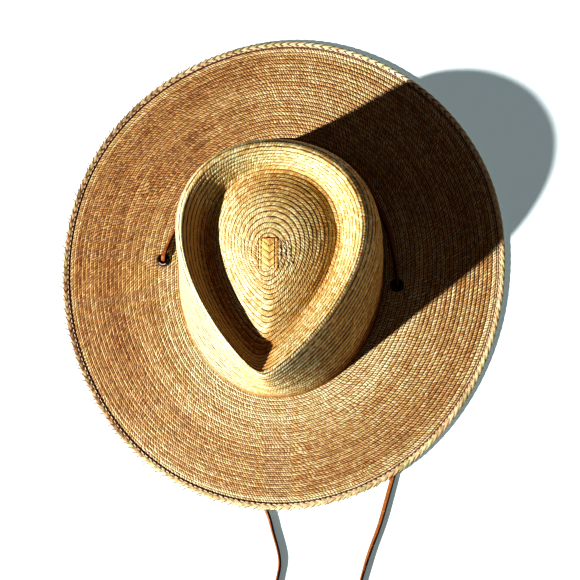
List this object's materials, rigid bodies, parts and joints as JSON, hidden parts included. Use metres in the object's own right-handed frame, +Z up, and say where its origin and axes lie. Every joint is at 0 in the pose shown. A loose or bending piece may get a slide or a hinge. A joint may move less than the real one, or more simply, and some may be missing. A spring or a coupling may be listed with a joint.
{
  "type": "straw fedora with a leather lace",
  "caption": "Sewn palm straw hat with a teardrop crown, a wide flat brim, a raised edge plait, black eyelets and a leather chin lace.",
  "frame": {"origin": "middle of the brim's box, on the surface that the hat rests on", "axes": "+Z up, the front of the hat along -Y, its length along Y"},
  "size_m": [0.3702, 0.5168, 0.108],
  "materials": {
    "crown_straw": "plaited palm straw, pale",
    "brim_straw": "plaited palm straw, toasted",
    "edge_straw": "thick herringbone plait of palm straw",
    "black_metal": "black enamel, semi gloss",
    "lace_leather": "flat cut leather lace, waxed"
  },
  "bodies": {
    "root": {"crown": "crown_straw", "brim": "brim_straw", "edge_plait": "edge_straw", "eyelet_left": "black_metal", "eyelet_right": "black_metal", "lace_band": "lace_leather", "chin_lace": "lace_leather"}
  },
  "joints": []
}
